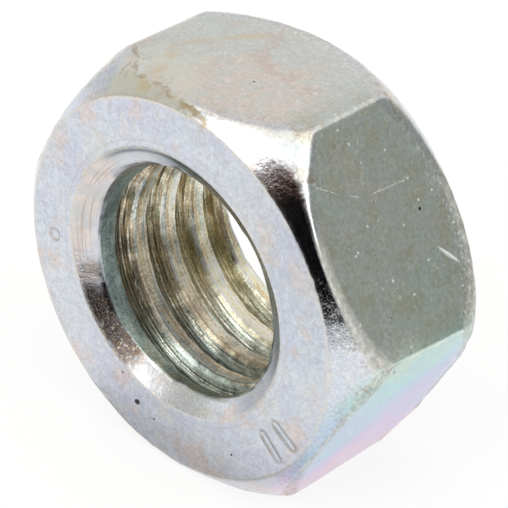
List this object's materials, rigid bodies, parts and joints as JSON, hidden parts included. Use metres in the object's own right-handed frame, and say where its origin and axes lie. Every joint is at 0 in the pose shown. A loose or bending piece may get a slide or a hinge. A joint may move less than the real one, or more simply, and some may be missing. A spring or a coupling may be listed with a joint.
{
  "type": "hex nut",
  "caption": "M8 hexagon nut with a right-hand coarse thread, chamfered corners and a countersunk bore, zinc-plated steel.",
  "frame": {"origin": "middle of the nut, on the thread axis, halfway between the two bearing faces", "axes": "+Y along the thread axis, away from the marked face; +Z square to the top spanner flat, so the nut stands on the opposite flat; +X through a corner"},
  "size_m": [0.0146, 0.0062, 0.0128],
  "materials": {
    "zinc_plate": "bright clear zinc plating over cold-formed steel, faintly iridescent, with fine scratches and light staining"
  },
  "bodies": {
    "root": {"hex_nut_m8": "zinc_plate"}
  },
  "joints": []
}
